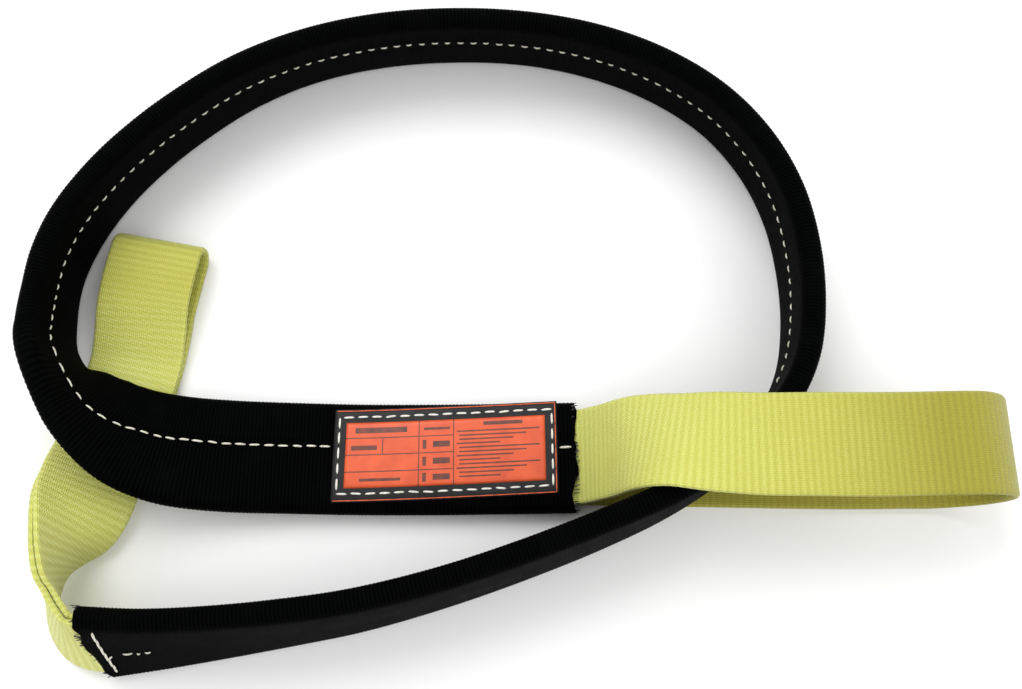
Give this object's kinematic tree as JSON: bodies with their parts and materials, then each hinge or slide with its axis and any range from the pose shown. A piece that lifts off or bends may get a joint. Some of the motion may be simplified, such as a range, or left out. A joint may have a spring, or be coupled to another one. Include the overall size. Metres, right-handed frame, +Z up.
{
  "type": "flat web sling",
  "caption": "Flat eye-and-eye lifting sling of two-ply yellow webbing in a black wrapped wear sleeve with a sewn label, laid in a loop with its sleeve through its own eye.",
  "frame": {"origin": "on the plane that the sling lies on, below the middle of its box", "axes": "+Z up; +X to the eye that the sleeve is threaded through; +Y away from the viewer, across the loop"},
  "size_m": [0.5098, 0.3634, 0.0722],
  "materials": {
    "web": "woven nylon webbing, yellow, slight sheen",
    "thread": "off-white sewing thread",
    "sleeve": "black ribbed woven synthetic, matt",
    "label_backing": "charcoal coated fabric, satin",
    "label_face": "printed orange panel, satin",
    "label_thread": "white sewing thread"
  },
  "bodies": {
    "root": {"right_eye_upper_leg": "web", "right_eye_lower_leg": "web", "left_eye_upper_leg": "web", "left_eye_lower_leg": "web", "front_ply_body": "web", "back_ply_body_right": "web", "back_ply_body_left": "web", "body_stitch_row_front_1": "thread", "body_stitch_row_front_2": "thread", "body_stitch_row_back_1": "thread", "body_stitch_row_back_2": "thread", "right_eye_splice_stitching_front": "thread", "right_eye_splice_stitching_back": "thread", "left_eye_splice_stitching_front": "thread", "left_eye_splice_stitching_back": "thread", "wear_sleeve": "sleeve", "sleeve_seam_thread": "thread", "sleeve_tack_right": "thread", "sleeve_tack_left": "thread", "label_backing": "label_backing", "label_face": "label_face", "label_stitch_end_1": "label_thread", "label_stitch_end_2": "label_thread", "label_stitch_row_1": "label_thread", "label_stitch_row_2": "label_thread"},
    "right_eye_end": {"right_eye_bearing_end": "web"},
    "left_eye_end": {"left_eye_bearing_end": "web"}
  },
  "joints": [
    {"name": "right_eye_end_lift", "type": "hinge", "parent": "root", "child": "right_eye_end", "pos_m": [0.17574, -0.07103, 0.0674], "axis": [0.0135, -0.9999, 0.0019], "range_deg": [0, 15]},
    {"name": "left_eye_end_lift", "type": "hinge", "parent": "root", "child": "left_eye_end", "pos_m": [-0.21038, -0.01769, 0.0081], "axis": [0.9809, -0.1944, 0.0007], "range_deg": [0, 70]}
  ]
}
